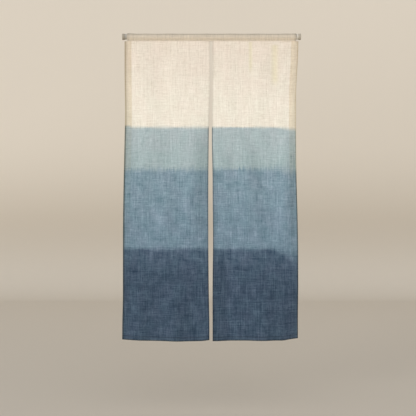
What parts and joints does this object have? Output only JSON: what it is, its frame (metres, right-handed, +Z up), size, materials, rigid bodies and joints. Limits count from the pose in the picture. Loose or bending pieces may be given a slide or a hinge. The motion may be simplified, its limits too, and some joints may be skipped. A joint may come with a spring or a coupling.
{
  "type": "noren curtain on tension rod",
  "caption": "Split doorway curtain of dip-dyed slubby cloth, cream fading through teal and blue to navy, on a plain tension rod held between two upright faces.",
  "frame": {"origin": "middle of the tension rod's axis, where the doorway holds the part up", "axes": "+X along the rod to the viewer's right, +Y to the back, +Z up; the cloth hangs down -Z and its front faces -Y"},
  "size_m": [0.873, 0.0314, 1.5038],
  "materials": {
    "heading_cloth": "undyed slub weave",
    "panel_cloth": "dip-dyed slub weave",
    "rod_steel": "white enamel",
    "cap_rubber": "matt"
  },
  "bodies": {
    "root": {"heading": "heading_cloth", "panel_left": "panel_cloth", "panel_right": "panel_cloth", "rod": "rod_steel", "rod_cap_left": "cap_rubber", "rod_cap_right": "cap_rubber"}
  },
  "joints": []
}
